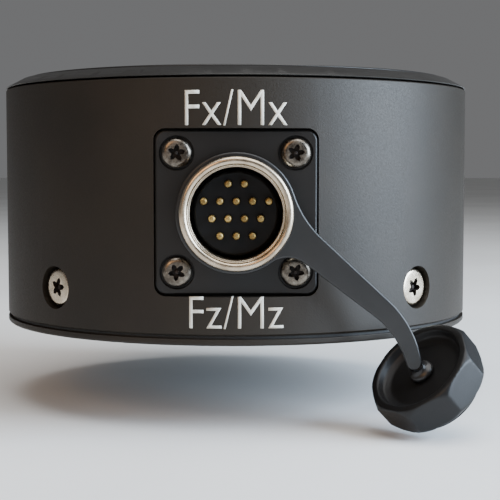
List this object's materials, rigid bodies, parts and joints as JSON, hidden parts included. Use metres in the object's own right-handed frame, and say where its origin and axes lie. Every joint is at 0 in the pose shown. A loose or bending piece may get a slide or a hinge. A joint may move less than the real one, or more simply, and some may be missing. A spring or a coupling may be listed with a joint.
{
  "type": "multi-axis force torque sensor",
  "caption": "Round multi-axis force and torque sensor for a robot wrist, with a round socket on a square plate and a plug cap on a tether.",
  "frame": {"origin": "centre of the base's mounting face, which is also the centre of its bolt circle", "axes": "+Z from the base towards the tool side, -Y out of the socket"},
  "size_m": [0.08, 0.0882, 0.0539],
  "materials": {
    "black_anodised": "bead-blasted, matt black anodised",
    "bare_aluminium": "fine machined",
    "nickel_plate": "satin nickel, slightly champagne",
    "screw_steel": "plain steel",
    "black_steel": "black oxide",
    "black_rubber": "satin moulded",
    "insert_plastic": "moulded",
    "gold_plate": "gold plated",
    "green_board": "solder mask",
    "chip_plastic": "moulded",
    "amber_film": "polyimide film",
    "gauge_foil": "foil on polyimide"
  },
  "bodies": {
    "sensor": {"base_flange": "black_anodised", "base_gasket": "black_rubber", "housing_shell": "black_anodised", "tool_flange": "black_anodised", "top_ring": "black_anodised", "flange_seal": "black_rubber", "sensing_element": "bare_aluminium", "strain_gauges": "gauge_foil", "gauge_leads": "amber_film", "amplifier_board": "green_board", "board_spacers": "screw_steel", "board_screws": "screw_steel", "signal_chips": "chip_plastic", "film_header": "chip_plastic", "ribbon_film": "amber_film", "element_screws": "black_steel", "hub_screws": "black_steel", "locating_pins": "screw_steel", "stop_pins": "screw_steel", "side_screws": "screw_steel", "connector_plate": "black_anodised", "plate_gasket": "black_rubber", "plate_screws": "screw_steel", "connector_shell": "nickel_plate", "connector_nut": "nickel_plate", "connector_insert": "insert_plastic", "contact_pins": "gold_plate", "solder_board": "green_board"},
    "tether": {"tether_strap": "black_rubber"},
    "cap": {"cap_body": "black_anodised", "cap_seal": "black_rubber"}
  },
  "joints": [
    {"name": "tether_swivel", "type": "hinge", "parent": "sensor", "child": "tether", "pos_m": [0, -0.04105, 0.0196], "axis": [0, -1, 0], "continuous": true},
    {"name": "cap_spin", "type": "hinge", "parent": "tether", "child": "cap", "pos_m": [0.02751, -0.03998, -0.00404], "axis": [-0.6027, -0.4115, 0.6837], "continuous": true}
  ]
}
